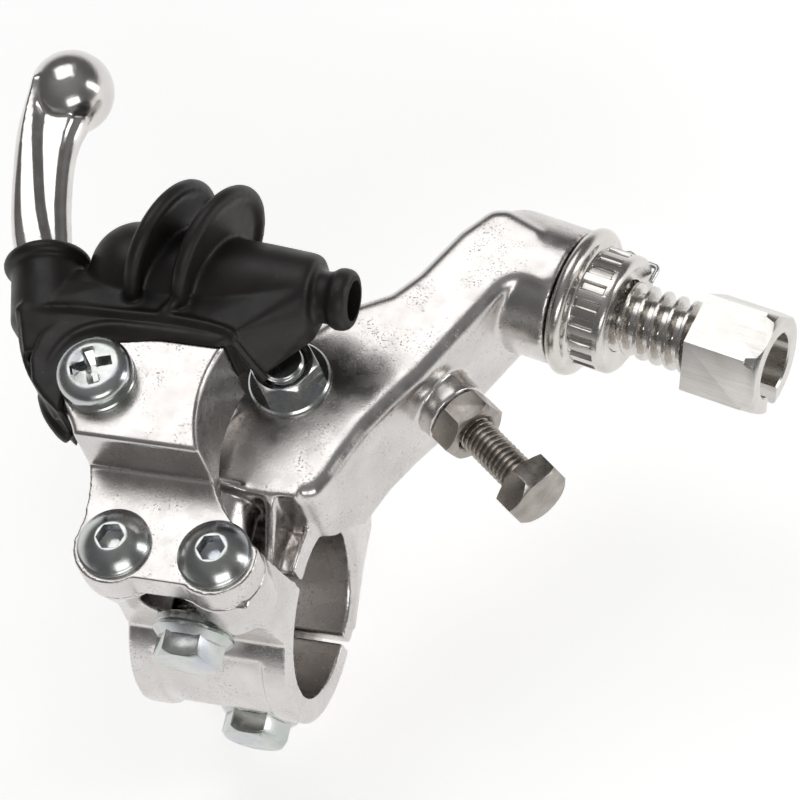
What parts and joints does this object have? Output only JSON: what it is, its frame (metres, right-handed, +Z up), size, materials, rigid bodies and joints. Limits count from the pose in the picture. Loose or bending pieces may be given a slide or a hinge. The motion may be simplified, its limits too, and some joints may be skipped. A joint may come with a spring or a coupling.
{
  "type": "clutch lever perch",
  "caption": "Split handlebar clamp perch with lever fork, thumbwheel cable adjuster, reach stop screw and a ball-ended hot start lever under a rubber boot.",
  "frame": {"origin": "middle of the handlebar bore, on its axis and half way along the clamp", "axes": "+X along the handlebar towards the middle of the motorcycle, +Y forward, +Z up along the lever pivot axes"},
  "size_m": [0.1024, 0.0759, 0.0691],
  "materials": {
    "cast_aluminium": "die cast, tumbled and polished",
    "polished_aluminium": "forged, polished",
    "turned_aluminium": "turned, bright",
    "zinc_steel": "clear zinc plate",
    "stainless_steel": "drawn stainless",
    "spring_steel": "bright spring wire",
    "brass_bush": "turned",
    "black_rubber": "satin moulded rubber"
  },
  "bodies": {
    "perch": {"perch_body": "cast_aluminium", "clamp_cap": "cast_aluminium", "clamp_bolts": "zinc_steel", "clamp_washers": "zinc_steel", "lever_pivot_bolt": "zinc_steel", "lever_pivot_nut": "zinc_steel", "stop_locknut": "stainless_steel", "hot_start_bracket": "cast_aluminium", "bracket_screws": "zinc_steel", "hot_pivot_screw": "zinc_steel", "hot_pivot_washer": "zinc_steel", "hot_pivot_nut": "zinc_steel", "dust_boot": "black_rubber"},
    "hot_lever": {"hot_start_lever": "polished_aluminium", "lever_bush": "brass_bush"},
    "wheel": {"adjuster_wheel": "turned_aluminium", "detent_spring": "spring_steel"},
    "barrel": {"adjuster_barrel": "turned_aluminium"},
    "reach_screw": {"stop_screw": "stainless_steel"}
  },
  "joints": [
    {"name": "hot_start_pivot", "type": "hinge", "parent": "perch", "child": "hot_lever", "pos_m": [-0.0136, 0.0108, 0.0321], "axis": [0, 0, 1], "range_deg": [0, 35], "deforming": ["dust_boot"]},
    {"name": "wheel_turn", "type": "hinge", "parent": "perch", "child": "wheel", "pos_m": [0.0378, 0.0429, 0.013], "axis": [0.9774, -0.2113, 0], "range_deg": [-540, 1440]},
    {"name": "barrel_travel", "type": "slide", "parent": "perch", "child": "barrel", "axis": [0.9774, -0.2113, 0], "range_m": [-0.008, 0.003]},
    {"name": "reach_travel", "type": "slide", "parent": "perch", "child": "reach_screw", "axis": [-0.8018, 0.5976, 0], "range_m": [-0.004, 0.008]}
  ],
  "couplings": [
    {"joint": "barrel_travel", "follows": "wheel_turn", "m_per_rad": -0.000318}
  ]
}
